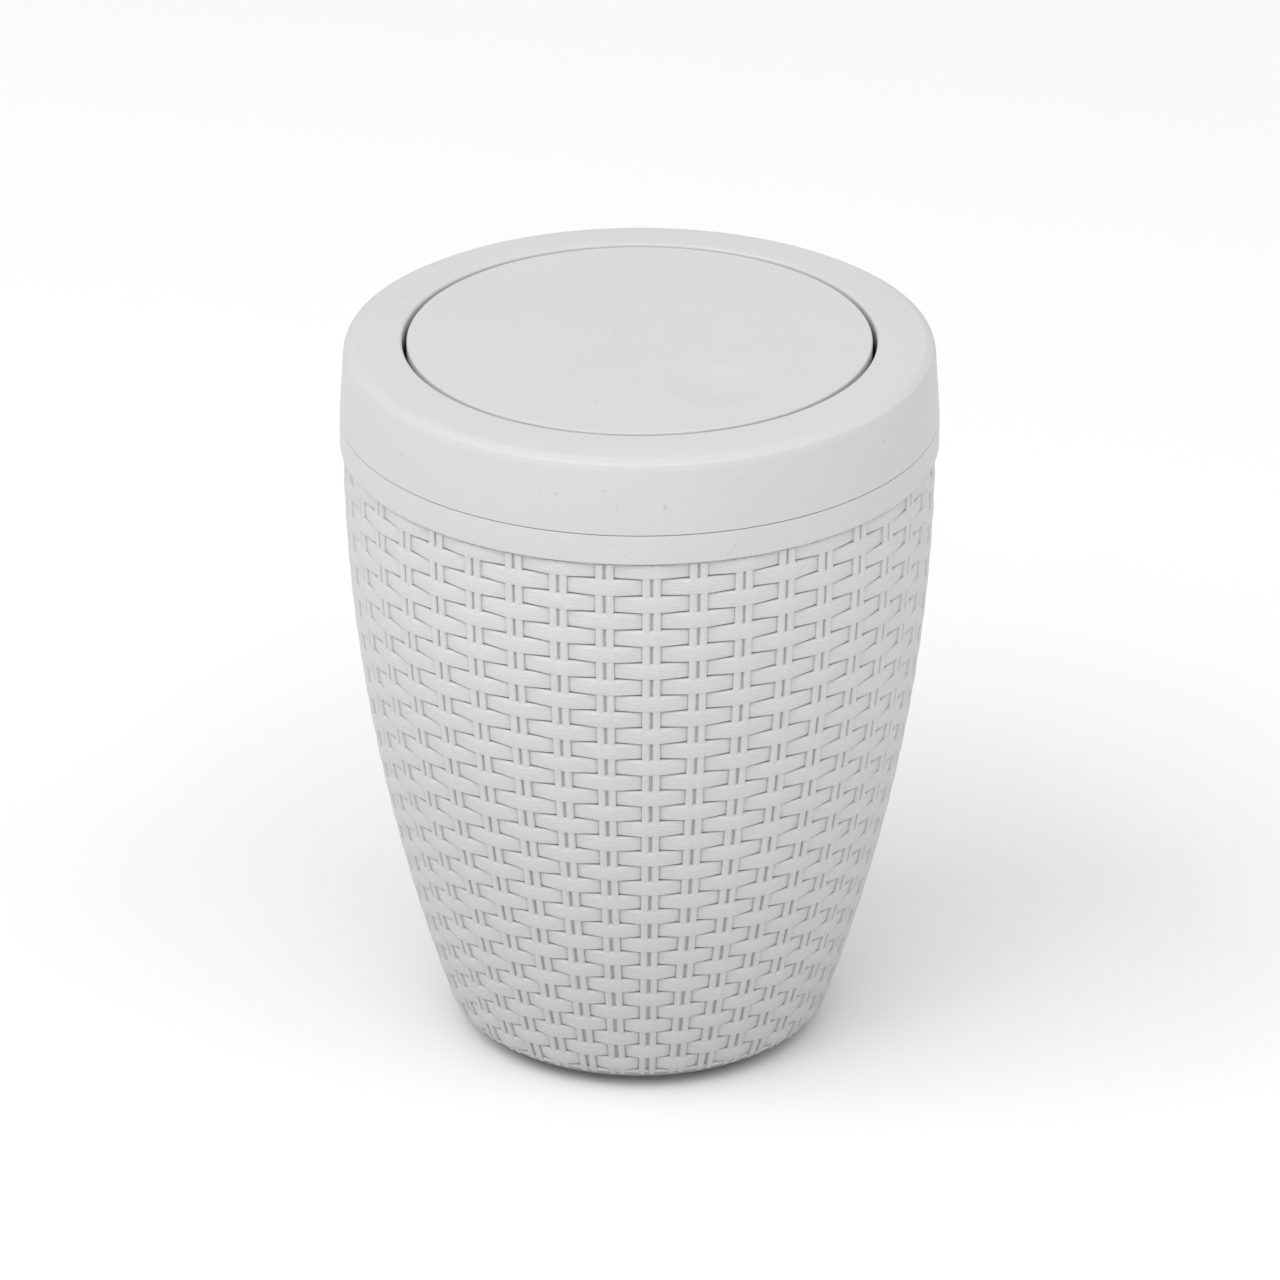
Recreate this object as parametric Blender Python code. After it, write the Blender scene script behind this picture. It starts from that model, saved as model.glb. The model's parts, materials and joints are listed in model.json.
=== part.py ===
"""Round swing-lid wastebasket, about 7 litres.

A bowed, tapering tub with a smooth band round its rim carries a loose lid ring.
A round flap hangs in the ring on two headed pins and swings both ways about the X
axis. A steel bar under the flap brings it back level. Metres, +Z up, floor at z = 0,
the flap's press mark towards -Y.
"""

import math

import bmesh
import bpy
from mathutils import Matrix, Vector

# Whole object
TOTAL_HEIGHT = 0.2755
RIM_RADIUS = 0.1100
SEGMENTS = 96
FIT_GAP = 0.0003
SEAM_CHAMFER = 0.0003

# Tub: its outside radius is WALL_TOP_RADIUS - WALL_TAPER * (1 - z / BAND_BOTTOM) ** WALL_BOW
WALL_TOP_RADIUS = 0.1089
WALL_TAPER = 0.0411
WALL_BOW = 2.0
WALL_THICKNESS = 0.0033
WALL_STEPS = 12
BAND_BOTTOM = 0.2348
BAND_ROUND = 0.0008
SEAM_HEIGHT = 0.2461
LIP_RADIUS = 0.1069
LIP_THICKNESS = 0.0013
LIP_TOP = 0.2586
EDGE_RADIUS = 0.0169
EDGE_STEPS = 7
FOOT_HEIGHT = 0.0010
FOOT_OUTER = 0.0552
FOOT_INNER = 0.0480
BASE_UNDERSIDE = 0.0018
FLOOR_TOP = 0.0042

# Lid ring
RING_TOP_RADIUS = 0.1084
RING_DROP = 0.0009
RING_FILLET = 0.0038
RING_WALL = 0.0020
OPENING_RADIUS = 0.0869
OPENING_ROUND = 0.0012
COLLAR_DEPTH = 0.0140
SOCKET_RADIUS = 0.0057
SOCKET_END = 0.0948

# Flap
FLAP_RADIUS = 0.0852
FLAP_SINK = 0.0002
FLAP_PLATE = 0.0020
FLAP_ROUND = 0.0008
FLAP_SKIRT_DEPTH = 0.0085
FLAP_SKIRT_WALL = 0.0020
PRESS_RADIUS = 0.0175
PRESS_DEPTH = 0.0010
PRESS_OFFSET = 0.0500
PRESS_STEPS = 5
RIB_THICKNESS = 0.0016
RIB_DEPTH = 0.0044

# Hinge: the axis runs along X at HINGE_DROP below the top of the flap
HINGE_DROP = 0.0064
PIN_RADIUS = 0.0020
PIN_INNER_END = 0.0770
PIN_HEAD_RADIUS = 0.0036
PIN_HEAD_LENGTH = 0.0015
SOCKET_CLEARANCE = 0.0004
BOSS_RADIUS = 0.0046
BOSS_INNER_END = 0.0740
BOSS_OUTER_END = 0.0849
PIN_SIDES = 16
BOSS_SIDES = 24

# Counterweight: a steel bar pushed through two loops under the flap
BAR_SIZE = Vector((0.0960, 0.0160, 0.0060))
BAR_DROP = 0.0085
BAR_CHAMFER = 0.0006
LOOP_POSITION = 0.0320
LOOP_LENGTH = 0.0070
LOOP_WALL = 0.0024

FLAP_TOP = TOTAL_HEIGHT - FLAP_SINK
HINGE_HEIGHT = FLAP_TOP - HINGE_DROP
PLATE_UNDERSIDE = FLAP_TOP - FLAP_PLATE
SIDES = {"left": -1, "right": 1}


def clear_scene():
    for thing in list(bpy.data.objects):
        bpy.data.objects.remove(thing, do_unlink=True)


def plastic(name, colour, roughness, metallic=0.0):
    """A Principled material of one finish."""
    material = bpy.data.materials.new(name)
    material.use_nodes = True
    shader = material.node_tree.nodes["Principled BSDF"]
    shader.inputs["Base Color"].default_value = (*colour, 1.0)
    shader.inputs["Roughness"].default_value = roughness
    shader.inputs["Metallic"].default_value = metallic
    return material


def arc(centre, radius, start, end, steps):
    """Points (r, z) on an arc, angles in degrees from +r towards +z, both ends included."""
    points = []
    for step in range(steps + 1):
        angle = math.radians(start + (end - start) * step / steps)
        points.append((centre[0] + radius * math.cos(angle), centre[1] + radius * math.sin(angle)))
    return points


def make_object(name, mesh, origin=Vector((0, 0, 0)), parent=None, material=None):
    """Puts a mesh given in world coordinates into the scene with its origin where asked."""
    mesh.transform(Matrix.Translation(-origin))
    mesh.shade_smooth()
    mesh.set_sharp_from_angle(angle=math.radians(35))
    thing = bpy.data.objects.new(name, mesh)
    bpy.context.scene.collection.objects.link(thing)
    thing.location = origin
    if parent is not None:
        thing.parent = parent
        thing.matrix_parent_inverse = Matrix.Translation(-parent.matrix_world.translation)
    if material is not None:
        mesh.materials.append(material)
    bpy.context.view_layer.update()
    return thing


def turned_mesh(name, outline, segments=SEGMENTS):
    """A solid of revolution about Z from a closed or axis-to-axis outline of (r, z) points."""
    shape = bmesh.new()
    corners = [shape.verts.new((r, 0, z)) for r, z in outline]
    on_axis = outline[0][0] == 0 and outline[-1][0] == 0
    pairs = list(zip(corners, corners[1:]))
    if not on_axis:
        pairs.append((corners[-1], corners[0]))
    edges = [shape.edges.new(pair) for pair in pairs]
    bmesh.ops.spin(
        shape,
        geom=corners + edges,
        cent=(0, 0, 0),
        axis=(0, 0, 1),
        angle=2 * math.pi,
        steps=segments,
        use_merge=True,
        use_duplicate=False,
    )
    bmesh.ops.remove_doubles(shape, verts=shape.verts, dist=1e-6)
    bmesh.ops.recalc_face_normals(shape, faces=shape.faces)
    mesh = bpy.data.meshes.new(name)
    shape.to_mesh(mesh)
    shape.free()
    return mesh


def rod_mesh(name, radius, start_x, end_x, sides):
    """A round bar along X on the hinge axis."""
    shape = bmesh.new()
    place = Matrix.Translation(((start_x + end_x) / 2, 0, HINGE_HEIGHT))
    bmesh.ops.create_cone(
        shape,
        cap_ends=True,
        segments=sides,
        radius1=radius,
        radius2=radius,
        depth=abs(end_x - start_x),
        matrix=place @ Matrix.Rotation(math.pi / 2, 4, "Y"),
    )
    mesh = bpy.data.meshes.new(name)
    shape.to_mesh(mesh)
    shape.free()
    return mesh


def block_mesh(name, centre, size, chamfer=0.0):
    """A box, with its edges chamfered where a chamfer is given."""
    shape = bmesh.new()
    bmesh.ops.create_cube(shape, size=1, matrix=Matrix.Translation(centre) @ Matrix.Diagonal((*size, 1)))
    if chamfer:
        bmesh.ops.bevel(shape, geom=shape.edges, offset=chamfer, segments=1, affect="EDGES")
    mesh = bpy.data.meshes.new(name)
    shape.to_mesh(mesh)
    shape.free()
    return mesh


def combine(target, tool_name, tool_mesh, operation):
    """Joins a shape to the target, or cuts it away, with a Boolean that stays live."""
    tool = make_object(tool_name, tool_mesh, parent=target.parent)
    tool.hide_render = True
    tool.display_type = "WIRE"
    change = target.modifiers.new(tool_name, "BOOLEAN")
    change.operation = operation
    change.solver = "EXACT"
    change.object = tool


def wall_radius(z):
    """Outside radius of the tub's wall at height z."""
    return WALL_TOP_RADIUS - WALL_TAPER * (1 - z / BAND_BOTTOM) ** WALL_BOW


def wall_lean(z):
    """Angle in degrees by which the wall leans out from upright at height z."""
    slope = WALL_TAPER * WALL_BOW / BAND_BOTTOM * (1 - z / BAND_BOTTOM) ** (WALL_BOW - 1)
    return math.degrees(math.atan(slope))


def bottom_edge(radius, lowest, inset, steps):
    """The rounded edge between wall and base, from the wall down, for a wall set in by inset."""
    joint_height = lowest + radius * (1 - math.sin(math.radians(wall_lean(lowest + radius))))
    lean = wall_lean(joint_height)
    centre_r = wall_radius(joint_height) - inset - radius * math.cos(math.radians(lean))
    return arc((centre_r, lowest + radius), radius, -lean, -90, steps)


def wall_heights(foot):
    """Even steps from the rim band down to just above the foot of the wall."""
    return [BAND_BOTTOM + (foot - BAND_BOTTOM) * step / WALL_STEPS for step in range(WALL_STEPS)]


def tub_outline():
    """From the lip down the outside, under the base, and up the inside."""
    outer_edge = bottom_edge(EDGE_RADIUS, FOOT_HEIGHT, 0, EDGE_STEPS)
    inner_edge = bottom_edge(EDGE_RADIUS - WALL_THICKNESS, FLOOR_TOP, WALL_THICKNESS, EDGE_STEPS - 1)
    heights = wall_heights(outer_edge[0][1])
    inner_heights = wall_heights(inner_edge[0][1])
    lip_inner = LIP_RADIUS - LIP_THICKNESS
    outline = [(0, FLOOR_TOP)]
    outline += list(reversed(inner_edge))
    outline += [(wall_radius(z) - WALL_THICKNESS, z) for z in reversed(inner_heights)]
    outline += [(lip_inner, SEAM_HEIGHT), (lip_inner, LIP_TOP), (LIP_RADIUS - BAND_ROUND / 2, LIP_TOP)]
    outline += [(LIP_RADIUS, LIP_TOP - BAND_ROUND), (LIP_RADIUS, SEAM_HEIGHT)]
    outline += [(RIM_RADIUS - SEAM_CHAMFER, SEAM_HEIGHT), (RIM_RADIUS, SEAM_HEIGHT - SEAM_CHAMFER)]
    outline += arc((RIM_RADIUS - BAND_ROUND, BAND_BOTTOM + BAND_ROUND), BAND_ROUND, 0, -90, 2)
    outline += [(wall_radius(z), z) for z in heights]
    outline += outer_edge
    outline += [(FOOT_OUTER, 0), (FOOT_INNER, 0), (FOOT_INNER, BASE_UNDERSIDE), (0, BASE_UNDERSIDE)]
    return outline


def ring_outline():
    """From the opening's rounded edge down the sloping top, down the skirt, and back under."""
    edge_r = OPENING_RADIUS + OPENING_ROUND
    fillet_r = RING_TOP_RADIUS - RING_FILLET
    fillet_z = TOTAL_HEIGHT - RING_DROP - RING_FILLET
    steepness = math.degrees(math.atan2(RING_DROP, fillet_r - edge_r))
    skirt_foot = SEAM_HEIGHT + FIT_GAP
    collar_outer = OPENING_RADIUS + RING_WALL
    collar_foot = TOTAL_HEIGHT - COLLAR_DEPTH
    outline = arc((edge_r, TOTAL_HEIGHT - OPENING_ROUND), OPENING_ROUND, 180, 90, 2)
    outline += arc((fillet_r, fillet_z), RING_FILLET, 90 - steepness, 0, 4)
    outline += [(RIM_RADIUS, skirt_foot + SEAM_CHAMFER), (RIM_RADIUS - SEAM_CHAMFER, skirt_foot)]
    outline += [(RIM_RADIUS - RING_WALL, skirt_foot), (RING_TOP_RADIUS - RING_WALL, fillet_z)]
    outline += [(fillet_r, fillet_z + RING_FILLET - RING_WALL), (collar_outer, TOTAL_HEIGHT - RING_WALL)]
    outline += [(collar_outer, collar_foot), (OPENING_RADIUS, collar_foot)]
    return outline


def flap_outline():
    """From the middle of the top out to the rounded rim, round the skirt, and back under."""
    inner = FLAP_RADIUS - FLAP_SKIRT_WALL
    skirt_foot = FLAP_TOP - FLAP_SKIRT_DEPTH
    outline = [(0, FLAP_TOP)]
    outline += arc((FLAP_RADIUS - FLAP_ROUND, FLAP_TOP - FLAP_ROUND), FLAP_ROUND, 90, 0, 2)
    outline += [(FLAP_RADIUS, skirt_foot), (inner, skirt_foot)]
    outline += [(inner, PLATE_UNDERSIDE), (0, PLATE_UNDERSIDE)]
    return outline


def press_lens_mesh(name, rim_height, lid_height):
    """A lens, dished below rim_height like the press mark and closed above by a cone."""
    sphere = (PRESS_RADIUS**2 + PRESS_DEPTH**2) / (2 * PRESS_DEPTH)
    half_angle = math.degrees(math.asin(PRESS_RADIUS / sphere))
    centre = (0, rim_height - PRESS_DEPTH + sphere)
    bowl = arc(centre, sphere, -90, -90 + half_angle * 1.1, PRESS_STEPS)
    bowl[0] = (0, bowl[0][1])
    mesh = turned_mesh(name, bowl + [(0, lid_height)], segments=32)
    mesh.transform(Matrix.Translation((0, -PRESS_OFFSET, 0)))
    return mesh


def make_tub(material):
    return make_object("tub", turned_mesh("tub", tub_outline()), material=material)


def make_lid_ring(parent, material):
    outline = ring_outline()
    ring = make_object("lid_ring", turned_mesh("lid_ring", outline), parent=parent, material=material)
    for side, sign in SIDES.items():
        socket_start = sign * (OPENING_RADIUS + RING_WALL / 2)
        boss = rod_mesh("socket", SOCKET_RADIUS, socket_start, sign * SOCKET_END, BOSS_SIDES)
        combine(ring, "socket_boss_" + side, boss, "UNION")
    for side, sign in SIDES.items():
        reach = sign * (SOCKET_END + RING_WALL)
        start = sign * (OPENING_RADIUS - RING_WALL)
        bore = rod_mesh("bore", PIN_RADIUS + SOCKET_CLEARANCE, start, reach, PIN_SIDES)
        combine(ring, "socket_bore_" + side, bore, "DIFFERENCE")
    return ring


def make_flap(parent, material):
    origin = Vector((0, 0, HINGE_HEIGHT))
    flap = make_object("flap", turned_mesh("flap", flap_outline()), origin, parent, material)
    loop_top = PLATE_UNDERSIDE + FLAP_PLATE / 4
    bar_middle = HINGE_HEIGHT - BAR_DROP
    loop_foot = bar_middle - BAR_SIZE.z / 2 - FIT_GAP - LOOP_WALL
    loop_width = BAR_SIZE.y + 2 * (FIT_GAP + LOOP_WALL)
    rib_span = 2 * (FLAP_RADIUS - FLAP_SKIRT_WALL / 2)
    rib_centre = (0, 0, PLATE_UNDERSIDE - (RIB_DEPTH - FLAP_PLATE / 4) / 2)
    for name, rib_size in (("rib_x", (rib_span, RIB_THICKNESS)), ("rib_y", (RIB_THICKNESS, rib_span))):
        rib = block_mesh(name, rib_centre, (*rib_size, RIB_DEPTH + FLAP_PLATE / 4))
        combine(flap, name, rib, "UNION")
    dish = press_lens_mesh("press_back", PLATE_UNDERSIDE, PLATE_UNDERSIDE + FLAP_PLATE / 4)
    combine(flap, "press_back", dish, "UNION")
    for side, sign in SIDES.items():
        boss = rod_mesh("boss", BOSS_RADIUS, sign * BOSS_INNER_END, sign * BOSS_OUTER_END, BOSS_SIDES)
        combine(flap, "pin_boss_" + side, boss, "UNION")
        centre = (sign * LOOP_POSITION, 0, (loop_top + loop_foot) / 2)
        loop = block_mesh("loop", centre, (LOOP_LENGTH, loop_width, loop_top - loop_foot))
        combine(flap, "bar_loop_" + side, loop, "UNION")
    for side, sign in SIDES.items():
        start = sign * (BOSS_INNER_END - LOOP_WALL)
        bore = rod_mesh("bore", PIN_RADIUS + FIT_GAP, start, sign * (FLAP_RADIUS + LOOP_WALL), PIN_SIDES)
        combine(flap, "pin_bore_" + side, bore, "DIFFERENCE")
    slot_size = (BAR_SIZE.x, BAR_SIZE.y + 2 * FIT_GAP, BAR_SIZE.z + 2 * FIT_GAP)
    combine(flap, "bar_slot", block_mesh("bar_slot", (0, 0, bar_middle), slot_size), "DIFFERENCE")
    mark = press_lens_mesh("press_mark", FLAP_TOP, FLAP_TOP + PRESS_DEPTH * 3)
    combine(flap, "press_mark", mark, "DIFFERENCE")
    return flap


def pin_mesh(name, sign):
    """A headed pin: its head rests outside the ring's socket and its shank ends in the flap's boss."""
    head_start = SOCKET_END + FIT_GAP
    outline = [(0, PIN_INNER_END), (PIN_RADIUS, PIN_INNER_END), (PIN_RADIUS, head_start)]
    outline += [(PIN_HEAD_RADIUS, head_start), (PIN_HEAD_RADIUS, head_start + PIN_HEAD_LENGTH)]
    outline += [(0, head_start + PIN_HEAD_LENGTH)]
    mesh = turned_mesh(name, outline, segments=PIN_SIDES)
    mesh.transform(Matrix.Rotation(sign * math.pi / 2, 4, "Y"))
    mesh.transform(Matrix.Translation((0, 0, HINGE_HEIGHT)))
    return mesh


def make_pins(parent, material):
    origin = Vector((0, 0, HINGE_HEIGHT))
    for side, sign in SIDES.items():
        name = "hinge_pin_" + side
        make_object(name, pin_mesh(name, sign), origin, parent, material)


def make_counterweight(parent, material):
    origin = Vector((0, 0, HINGE_HEIGHT))
    centre = (0, 0, HINGE_HEIGHT - BAR_DROP)
    bar = block_mesh("counterweight", centre, BAR_SIZE, BAR_CHAMFER)
    return make_object("counterweight", bar, origin, parent, material)


def make_empty(name, location, parent=None):
    empty = bpy.data.objects.new(name, None)
    bpy.context.scene.collection.objects.link(empty)
    empty.location = location
    if parent is not None:
        empty.parent = parent
        empty.matrix_parent_inverse = Matrix.Translation(-parent.matrix_world.translation)
    bpy.context.view_layer.update()
    return empty


def build():
    clear_scene()
    tub_plastic = plastic("tub_plastic", (0.76, 0.76, 0.76), 0.55)
    lid_plastic = plastic("lid_plastic", (0.80, 0.80, 0.80), 0.45)
    pin_plastic = plastic("pin_plastic", (0.82, 0.82, 0.80), 0.35)
    bar_steel = plastic("bar_steel", (0.55, 0.56, 0.58), 0.35, metallic=1.0)
    make_tub(tub_plastic)
    lid = make_empty("lid_lift", (0, 0, SEAM_HEIGHT))
    make_lid_ring(lid, lid_plastic)
    hinge = make_empty("flap_swing", (0, 0, HINGE_HEIGHT), lid)
    make_flap(hinge, lid_plastic)
    make_pins(hinge, pin_plastic)
    make_counterweight(hinge, bar_steel)


build()
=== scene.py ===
"""The swing-lid wastebasket's finished look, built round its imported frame.

The tub is one turned body with the woven relief laid on it as four quarters of fine
mesh. The lid ring, the flap and the pins are turned again with finer edges, and the
counterweight keeps its frame solid. Metres, +Z up, the flap's press mark towards -Y,
the hinge along X.
"""

import json
import math

import bmesh
import bpy
import numpy as np
from mathutils import Matrix, Vector


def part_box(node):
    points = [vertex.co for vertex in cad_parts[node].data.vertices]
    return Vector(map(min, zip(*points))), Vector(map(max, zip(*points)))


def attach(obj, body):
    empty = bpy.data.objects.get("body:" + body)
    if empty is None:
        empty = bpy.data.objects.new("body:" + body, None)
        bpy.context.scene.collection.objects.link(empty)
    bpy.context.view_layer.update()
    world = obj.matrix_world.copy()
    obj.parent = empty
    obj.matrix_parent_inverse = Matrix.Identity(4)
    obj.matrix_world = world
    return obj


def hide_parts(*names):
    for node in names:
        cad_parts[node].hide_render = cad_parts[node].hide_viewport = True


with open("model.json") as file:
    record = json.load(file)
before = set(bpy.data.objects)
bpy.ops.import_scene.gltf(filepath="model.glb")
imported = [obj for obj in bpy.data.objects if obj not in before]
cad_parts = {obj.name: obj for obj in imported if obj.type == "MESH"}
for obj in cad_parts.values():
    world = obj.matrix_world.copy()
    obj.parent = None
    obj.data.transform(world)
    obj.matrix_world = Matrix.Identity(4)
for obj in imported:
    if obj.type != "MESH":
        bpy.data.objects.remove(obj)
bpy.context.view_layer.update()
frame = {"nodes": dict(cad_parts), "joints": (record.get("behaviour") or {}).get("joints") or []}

# Sizes read from the frame
tub_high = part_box("tub")[1]
ring_low, ring_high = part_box("lid_ring")
flap_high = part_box("flap")[1]
bar_low, bar_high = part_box("counterweight")
pin_low, pin_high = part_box("hinge_pin_right")
hinge = next(joint for joint in frame["joints"] if joint["name"] == "flap_swing")
HINGE_HEIGHT = hinge["pos_m"][2]
TOTAL_HEIGHT = ring_high.z
RIM_RADIUS = tub_high.x
LIP_TOP = tub_high.z
FLAP_RADIUS = flap_high.x
FLAP_TOP = flap_high.z

# Gap between parts that rest on each other, as in the frame
FIT_GAP = 0.0003
SEAM_HEIGHT = ring_low.z - FIT_GAP

# Tub, with the frame's sizes and finer roundings. Below the band the wall's radius is
# WALL_TOP_RADIUS - WALL_TAPER * (1 - z / BAND_BOTTOM) ** 2
WALL_TOP_RADIUS = 0.1089
WALL_TAPER = 0.0411
WALL_THICKNESS = 0.0033
BAND_BOTTOM = 0.2348
BAND_ROUND = 0.0007
SEAM_ROUND = 0.00022
LIP_RADIUS = 0.1069
LIP_THICKNESS = 0.0013
LIP_ROUND = LIP_THICKNESS * 0.45
LIP_FOOT_FILLET = 0.0002
EDGE_RADIUS = 0.0169
FOOT_HEIGHT = 0.0010
FOOT_OUTER = 0.0552
FOOT_INNER = 0.0480
FOOT_ROUND = 0.0003
FOOT_FILLET = 0.0004
BASE_UNDERSIDE = 0.0018
GATE_STUB_RADIUS = 0.0030
GATE_STUB_HEIGHT = 0.0008
FLOOR_TOP = 0.0042
WALL_STEPS = 400
EDGE_STEPS = 120

# Weave: pairs of stakes and rows of strands, lengths along the wall from the rim band
PAIRS = 40
ROWS = 34
FIRST_PAIR = math.radians(-21.4)
ROW_PITCH = 0.00677
FIRST_ROW = 0.00305
STRAND_HALF = 0.00310
STRAND_TOP_ROUND = 0.00150
STRAND_END_ROUND = 0.00080
STRAND_TOP_FALL = 0.00090
STRAND_FOOT_ROUND = 0.00030
STRAND_FOOT_FALL = 0.00035
STRAND_DIP = 0.00118
DIP_START = 0.6
DIP_EASE = 0.12
DIP_GROWTH = 0.4
END_ROUND = 0.00040
END_FALL = 0.00035
GAP_HALF_TOP = 0.00050
GAP_WIDENING = 0.0006
STAKE_EDGE_TOP = 0.00336
STAKE_NARROWING = 0.0011
STAKE_ROUND = 0.00050
STAKE_SQUARENESS = 2.4
STAKE_SINK = 0.00015
STAKE_TIP_FALL = 0.0005
STAKE_TIP_LEAST = 0.02
GAP_DEPTH = 0.00140
GROOVE_DEPTH = 0.00200
BAND_GROOVE = 0.00065
MOULD_LINE = 0.00012
ROW_SIDE_RUN = 0.00007
STAKE_SIDE_RUN = 0.00008
SKIN_DEPTH = 0.00230
BACK_DEPTH = 0.00265
BACK_LINES = 9
STAKE_END = 0.2338
BASE_TOP = 0.2313
BASE_SINK = 0.00070
LAST_GROOVE = FIRST_ROW + (ROWS - 0.5) * ROW_PITCH
SAME_LINE = 1e-6

# Lid ring, as in the frame. The bevel's end is an angle in degrees
RING_TOP_RADIUS = 0.1084
RING_DROP = 0.0009
RING_FILLET = 0.0038
BEVEL_END = 34
RING_WALL = 0.0020
OPENING_RADIUS = 0.0869
OPENING_ROUND = 0.0012
COLLAR_DEPTH = 0.0140
SOCKET_RADIUS = 0.0057
SOCKET_END = 0.0948
SOCKET_BORE = 0.0024

# Flap, as in the frame, with a press mark 0.3 mm deeper
FLAP_PLATE = 0.0020
FLAP_ROUND = 0.0008
FLAP_SKIRT_DEPTH = 0.0085
FLAP_SKIRT_WALL = 0.0020
PRESS_RADIUS = 0.0175
PRESS_DEPTH = 0.0013
PRESS_FULLNESS = 1.05
PRESS_OFFSET = 0.0500
RIB_THICKNESS = 0.0016
RIB_DEPTH = 0.0044
RIB_OVERLAP = 0.0003
BOSS_RADIUS = 0.0046
BOSS_INNER_END = 0.0740
BOSS_OUTER_END = 0.0849
BOSS_BORE = 0.0023
BOSS_RIM = 0.0004
LOOP_POSITION = 0.0320
LOOP_LENGTH = 0.0070
LOOP_WALL = 0.0024

# Pins, as in the frame, with rounder heads
PIN_RADIUS = 0.0020
PIN_HEAD_RADIUS = 0.0036
PIN_HEAD_LENGTH = 0.0015

SIDES = {"left": -1, "right": 1}
SEGMENTS = 256


# ---------------------------------------------------------------- mesh helpers


def finished_mesh(name, shape):
    """The mesh of a bmesh that is done with."""
    mesh = bpy.data.meshes.new(name)
    shape.to_mesh(mesh)
    shape.free()
    return mesh


def new_object(name, data):
    """An object in the scene's own collection."""
    thing = bpy.data.objects.new(name, data)
    bpy.context.scene.collection.objects.link(thing)
    return thing


def mesh_points(mesh):
    """The mesh's points, one in each row of an array."""
    points = np.empty(len(mesh.vertices) * 3, np.float32)
    mesh.vertices.foreach_get("co", points)
    return points.reshape(-1, 3)


def mark_points(mesh, name, values):
    """Stores a number on each of the mesh's points."""
    values = np.asarray(values, np.float32).ravel()
    mesh.attributes.new(name, "FLOAT", "POINT").data.foreach_set("value", values)


def arc(centre, radius, start, end, steps):
    """Points (r, z) on an arc, angles in degrees from +r towards +z, both ends included."""
    angles = np.radians(np.linspace(start, end, steps + 1))
    return [(centre[0] + radius * math.cos(a), centre[1] + radius * math.sin(a)) for a in angles]


def turned_mesh(name, outline, segments=SEGMENTS):
    """A closed solid turned about Z from a closed or axis-to-axis outline of (r, z) points."""
    shape = bmesh.new()
    angles = [2 * math.pi * i / segments for i in range(segments)]
    rings = []
    for r, z in outline:
        if r == 0:
            rings.append([shape.verts.new((0, 0, z))] * segments)
        else:
            rings.append([shape.verts.new((r * math.cos(a), r * math.sin(a), z)) for a in angles])
    pairs = list(zip(rings, rings[1:]))
    if outline[0][0] != 0:
        pairs.append((rings[-1], rings[0]))
    for upper, lower in pairs:
        for i in range(segments):
            j = (i + 1) % segments
            corners = [upper[i], upper[j], lower[j], lower[i]]
            shape.faces.new(list(dict.fromkeys(corners)))
    bmesh.ops.recalc_face_normals(shape, faces=shape.faces)
    return finished_mesh(name, shape)


def soften(points, reach, steps=4):
    """The same line through (r, z) points with every inner corner cut back by reach and rounded."""
    line = [points[0]]
    for before, corner, after in zip(points, points[1:], points[2:]):
        here = Vector(corner)
        start = here + (Vector(before) - here).normalized() * reach
        end = here + (Vector(after) - here).normalized() * reach
        for i in range(steps + 1):
            share = i / steps
            line.append(tuple(start.lerp(here, share).lerp(here.lerp(end, share), share)))
    return line + [points[-1]]


def rounded_block_mesh(name, centre, size, rounding):
    """A box with rounded edges."""
    shape = bmesh.new()
    place = Matrix.Translation(centre) @ Matrix.Diagonal((*size, 1))
    bmesh.ops.create_cube(shape, size=1, matrix=place)
    bmesh.ops.bevel(shape, geom=shape.edges, offset=rounding, segments=3, affect="EDGES", profile=0.5)
    return finished_mesh(name, shape)


def lay_along_x(mesh, sign):
    """Turns a shape made about Z so that its +Z runs along X, or -X, on the hinge axis."""
    mesh.transform(Matrix.Rotation(sign * math.pi / 2, 4, "Y"))
    mesh.transform(Matrix.Translation((0, 0, HINGE_HEIGHT)))
    return mesh


def bore_mesh(radius, start, end, sign):
    """A round bar along the hinge axis, to cut a bore with."""
    outline = [(0, start), (radius, start), (radius, end), (0, end)]
    return lay_along_x(turned_mesh("bore", outline, 40), sign)


def make_piece(mesh, body, material, replaced=(), sharp=35):
    """Puts a mesh in row coordinates into the scene as a piece that rides on a body."""
    mesh.shade_smooth()
    mesh.set_sharp_from_angle(angle=math.radians(sharp))
    piece = new_object(mesh.name, mesh)
    mesh.materials.append(material)
    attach(piece, body)
    if replaced:
        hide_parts(*replaced)


def change_mesh(mesh, tool_mesh, operation):
    """The mesh after an exact Boolean with another. Both are used up, and the name stays."""
    target = new_object("target", mesh)
    tool = new_object("tool", tool_mesh)
    modifier = target.modifiers.new("change", "BOOLEAN")
    modifier.operation = operation
    modifier.solver = "EXACT"
    modifier.object = tool
    view = bpy.context.evaluated_depsgraph_get()
    result = bpy.data.meshes.new_from_object(target.evaluated_get(view))
    name = mesh.name
    for thing in (target, tool):
        bpy.data.objects.remove(thing)
    for used in (mesh, tool_mesh):
        bpy.data.meshes.remove(used)
    result.name = name
    return result


# ---------------------------------------------------------------- materials

# Tones mixed into the plastics, as linear colours
SPECK_TONE = (0.30, 0.29, 0.27)
SCUFF_TONE = (0.36, 0.36, 0.37)
# Painted shade on the base band by the foot, where contact shade falls
FOOT_PAINTED_SHADE_TONE = (0.20, 0.20, 0.20)
FIBRE_TONE = (0.52, 0.52, 0.52)
# Dust and painted shade in the weave's grooves
GROOVE_DUST_AND_SHADE_TONE = (0.27, 0.27, 0.27)
# Painted shade that darkens the woven wall towards the bottom
LOW_WALL_SHADE_TONE = (0.30, 0.30, 0.30)

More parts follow.
